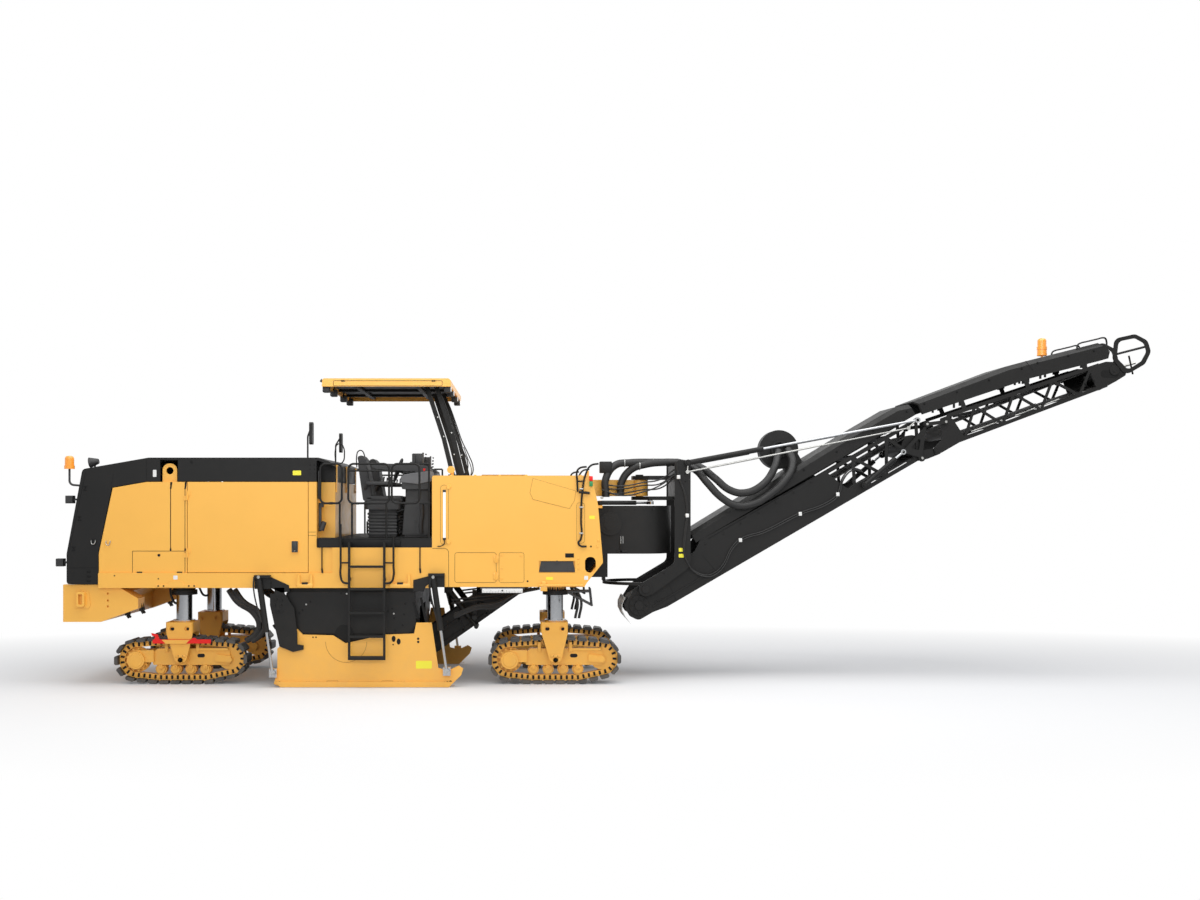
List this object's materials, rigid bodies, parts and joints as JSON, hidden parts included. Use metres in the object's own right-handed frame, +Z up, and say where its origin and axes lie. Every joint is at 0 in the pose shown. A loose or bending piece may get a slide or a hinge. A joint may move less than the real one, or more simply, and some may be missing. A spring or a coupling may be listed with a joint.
{
  "type": "cold planer milling machine on four track units",
  "caption": "Cold planer on steered track units with a cutter drum between lifting side plates, an engine house, a canopied platform and a folding discharge conveyor.",
  "frame": {"origin": "on the ground, below the middle of the machine's overall box", "axes": "+X forward to the discharge conveyor, +Y to the machine's left, +Z up"},
  "size_m": [14.7773, 2.732, 4.7357],
  "materials": {
    "body_yellow": "semi-gloss machine yellow",
    "body_black": "satin charcoal black",
    "track_steel": "dull steel shoes",
    "belt_rubber": "matt black rubber",
    "cylinder_steel": "black barrels",
    "rod_chrome": "polished rods",
    "seat_black": "dark seats and consoles",
    "tool_steel": "bare drum steel",
    "lamp": "amber lens on black housings"
  },
  "bodies": {
    "chassis": {"main_frame": "body_yellow", "front_frame": "body_yellow", "rear_bumper": "body_yellow", "engine_block": "body_black", "side_panels": "body_yellow", "platform": "body_black", "guard_rails": "body_black", "ladders": "body_black", "seats": "seat_black", "consoles": "seat_black", "canopy_roof": "body_yellow", "canopy_posts": "body_black", "front_hood": "body_yellow", "cutter_housing": "body_black", "cutter_side_walls": "body_black", "moldboard": "body_black", "plate_barrels": "cylinder_steel", "collecting_conveyor": "body_black", "collecting_belt": "belt_rubber", "transfer_hood": "body_black"},
    "engine_hood": {"engine_hood": "body_black", "rear_lamps": "lamp", "mirrors": "body_black"},
    "side_door_right": {"side_door_right": "body_yellow"},
    "side_door_left": {"side_door_left": "body_yellow"},
    "cutter_drum": {"cutter_drum": "tool_steel"},
    "side_plate_right": {"side_plate_right": "body_yellow"},
    "side_plate_left": {"side_plate_left": "body_yellow"},
    "track_unit_front_right": {"leg_front_right": "body_yellow", "undercarriage_front_right": "body_yellow", "track_front_right": "track_steel"},
    "track_unit_rear_right": {"leg_rear_right": "body_yellow", "undercarriage_rear_right": "body_yellow", "track_rear_right": "track_steel"},
    "track_unit_front_left": {"leg_front_left": "body_yellow", "undercarriage_front_left": "body_yellow", "track_front_left": "track_steel"},
    "track_unit_rear_left": {"leg_rear_left": "body_yellow", "undercarriage_rear_left": "body_yellow", "track_rear_left": "track_steel"},
    "slew_frame": {"slew_frame": "body_black"},
    "lower_boom": {"lower_boom": "body_black", "lower_cover": "body_black", "lower_belt": "belt_rubber", "suction_fan": "body_black"},
    "upper_boom": {"upper_boom": "body_black", "upper_cover": "body_black", "upper_belt": "belt_rubber", "head_guard": "body_black", "front_beacon": "lamp"},
    "lift_barrels": {"lift_barrels": "cylinder_steel"},
    "lift_rods": {"lift_rods": "rod_chrome"},
    "fold_crank": {"fold_crank": "body_black"},
    "fold_link": {"fold_link": "body_black"},
    "fold_barrels": {"fold_barrels": "cylinder_steel"},
    "fold_rods": {"fold_rods": "rod_chrome"},
    "swing_barrel_right": {"swing_barrel_right": "cylinder_steel"},
    "swing_rod_right": {"swing_rod_right": "rod_chrome"},
    "swing_barrel_left": {"swing_barrel_left": "cylinder_steel"},
    "swing_rod_left": {"swing_rod_left": "rod_chrome"}
  },
  "joints": [
    {"name": "drum_spin", "type": "hinge", "parent": "chassis", "child": "cutter_drum", "pos_m": [-3.36, 0, 0.775], "axis": [0, 1, 0], "continuous": true},
    {"name": "steer_front_right", "type": "hinge", "parent": "chassis", "child": "track_unit_front_right", "pos_m": [-0.77, -0.8, 0.33], "axis": [0, 0, 1], "range_deg": [-15, 15]},
    {"name": "steer_rear_right", "type": "hinge", "parent": "chassis", "child": "track_unit_rear_right", "pos_m": [-5.755, -0.8, 0.33], "axis": [0, 0, 1], "range_deg": [-15, 15]},
    {"name": "side_plate_lift_right", "type": "slide", "parent": "chassis", "child": "side_plate_right", "axis": [-0.1422, 0, 0.9898], "range_m": [0, 0.35]},
    {"name": "side_door_hinge_right", "type": "hinge", "parent": "chassis", "child": "side_door_right", "pos_m": [-5.6, -1.237, 2.1], "axis": [0, 0, -1], "range_deg": [0, 100]},
    {"name": "steer_front_left", "type": "hinge", "parent": "chassis", "child": "track_unit_front_left", "pos_m": [-0.77, 0.8, 0.33], "axis": [0, 0, 1], "range_deg": [-15, 15]},
    {"name": "steer_rear_left", "type": "hinge", "parent": "chassis", "child": "track_unit_rear_left", "pos_m": [-5.755, 0.8, 0.33], "axis": [0, 0, 1], "range_deg": [-15, 15]},
    {"name": "side_plate_lift_left", "type": "slide", "parent": "chassis", "child": "side_plate_left", "axis": [-0.1422, 0, 0.9898], "range_m": [0, 0.35]},
    {"name": "side_door_hinge_left", "type": "hinge", "parent": "chassis", "child": "side_door_left", "pos_m": [-5.6, 1.237, 2.1], "axis": [0, 0, 1], "range_deg": [0, 100]},
    {"name": "engine_hood_hinge", "type": "hinge", "parent": "chassis", "child": "engine_hood", "pos_m": [-3.682, 0, 2.915], "axis": [0, 1, 0], "range_deg": [0, 40]},
    {"name": "conveyor_slew", "type": "hinge", "parent": "chassis", "child": "slew_frame", "pos_m": [0.43, 0, 2.5], "axis": [0, 0, 1], "range_deg": [-60, 60]},
    {"name": "conveyor_lift", "type": "hinge", "parent": "slew_frame", "child": "lower_boom", "pos_m": [0.47, 0, 1.238], "axis": [0, 1, 0], "range_deg": [-5, 25]},
    {"name": "conveyor_fold", "type": "hinge", "parent": "lower_boom", "child": "upper_boom", "pos_m": [4.467, 0, 3.131], "axis": [0, 1, 0], "range_deg": [0, 90]},
    {"name": "lift_barrel_swing", "type": "hinge", "parent": "slew_frame", "child": "lift_barrels", "pos_m": [1.044, 0, 2.966], "axis": [0, 1, 0], "range_deg": [-6, 29.2]},
    {"name": "lift_rod_slide", "type": "slide", "parent": "lift_barrels", "child": "lift_rods", "axis": [0.9832, 0, 0.1826], "range_m": [-0.15148, 0.74941]},
    {"name": "fold_crank_turn", "type": "hinge", "parent": "lower_boom", "child": "fold_crank", "pos_m": [4.25608, 0, 3.03073], "axis": [0, 1, 0], "range_deg": [-0.2, 59.5]},
    {"name": "fold_link_turn", "type": "hinge", "parent": "fold_crank", "child": "fold_link", "pos_m": [4.32507, 0, 3.49667], "axis": [0, 1, 0], "range_deg": [-3.93, 0.2]},
    {"name": "fold_barrel_swing", "type": "hinge", "parent": "lower_boom", "child": "fold_barrels", "pos_m": [3.45463, 0, 2.66031], "axis": [0, 1, 0], "range_deg": [-1.05, 0.2]},
    {"name": "fold_rod_slide", "type": "slide", "parent": "fold_barrels", "child": "fold_rods", "axis": [0.7588, 0, 0.6513], "range_m": [-0.002, 0.28455]},
    {"name": "swing_barrel_turn_right", "type": "hinge", "parent": "chassis", "child": "swing_barrel_right", "pos_m": [-0.155, -0.55, 2.42], "axis": [0, 0, 1], "range_deg": [-0.96, 0.96]},
    {"name": "swing_rod_slide_right", "type": "slide", "parent": "swing_barrel_right", "child": "swing_rod_right", "axis": [0.9029, 0.4299, 0], "range_m": [-0.21827, 0.21827]},
    {"name": "swing_barrel_turn_left", "type": "hinge", "parent": "chassis", "child": "swing_barrel_left", "pos_m": [-0.155, 0.55, 2.42], "axis": [0, 0, 1], "range_deg": [-0.96, 0.96]},
    {"name": "swing_rod_slide_left", "type": "slide", "parent": "swing_barrel_left", "child": "swing_rod_left", "axis": [0.9029, -0.4299, 0], "range_m": [-0.21827, 0.21827]}
  ],
  "couplings": [
    {"joint": "lift_barrel_swing", "follows": "conveyor_lift", "ratio": 1.1599},
    {"joint": "lift_rod_slide", "follows": "conveyor_lift", "m_per_rad": 1.7129},
    {"joint": "fold_crank_turn", "follows": "conveyor_fold", "ratio": 0.65888},
    {"joint": "fold_link_turn", "follows": "conveyor_fold", "ratio": -0.041407},
    {"joint": "fold_barrel_swing", "follows": "conveyor_fold", "ratio": -0.009405},
    {"joint": "fold_rod_slide", "follows": "conveyor_fold", "m_per_rad": 0.17987},
    {"joint": "swing_barrel_turn_right", "follows": "conveyor_slew", "ratio": 0.012586},
    {"joint": "swing_rod_slide_right", "follows": "conveyor_slew", "m_per_rad": 0.20652},
    {"joint": "swing_barrel_turn_left", "follows": "conveyor_slew", "ratio": 0.012586},
    {"joint": "swing_rod_slide_left", "follows": "conveyor_slew", "m_per_rad": -0.20652}
  ]
}
